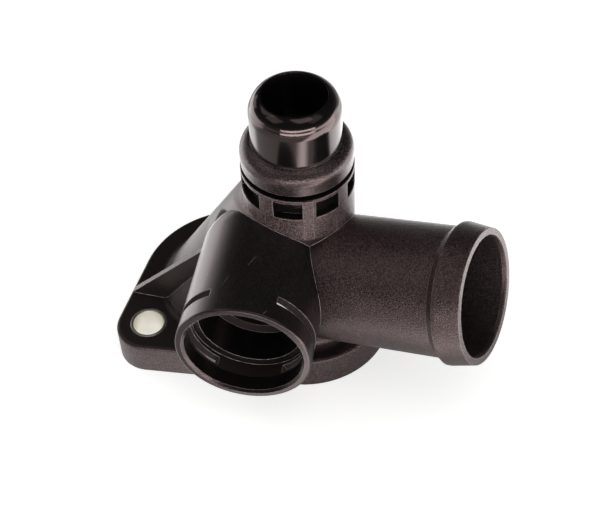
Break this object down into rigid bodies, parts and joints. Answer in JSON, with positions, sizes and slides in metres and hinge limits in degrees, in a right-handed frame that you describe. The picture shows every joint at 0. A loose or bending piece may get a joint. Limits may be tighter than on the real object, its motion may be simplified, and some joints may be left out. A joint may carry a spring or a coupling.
{
  "type": "coolant flange",
  "caption": "Black plastic coolant flange: two-bolt oval base, upright quick-fit spigot, sloping barbed hose stub and a level plug-in port with clip slots.",
  "frame": {"origin": "middle of the mounting face, halfway between the two bolt holes", "axes": "+Z along the bolts, away from the engine; X along the line of the two bolt holes, with the hose stub's lug at +X"},
  "size_m": [0.1002, 0.0913, 0.0805],
  "materials": {
    "housing": "satin black glass-filled nylon",
    "sleeve": "plain turned",
    "seal": "matte"
  },
  "bodies": {
    "root": {"housing": "housing", "sleeve_left": "sleeve", "sleeve_right": "sleeve", "flange_seal": "seal"}
  },
  "joints": []
}
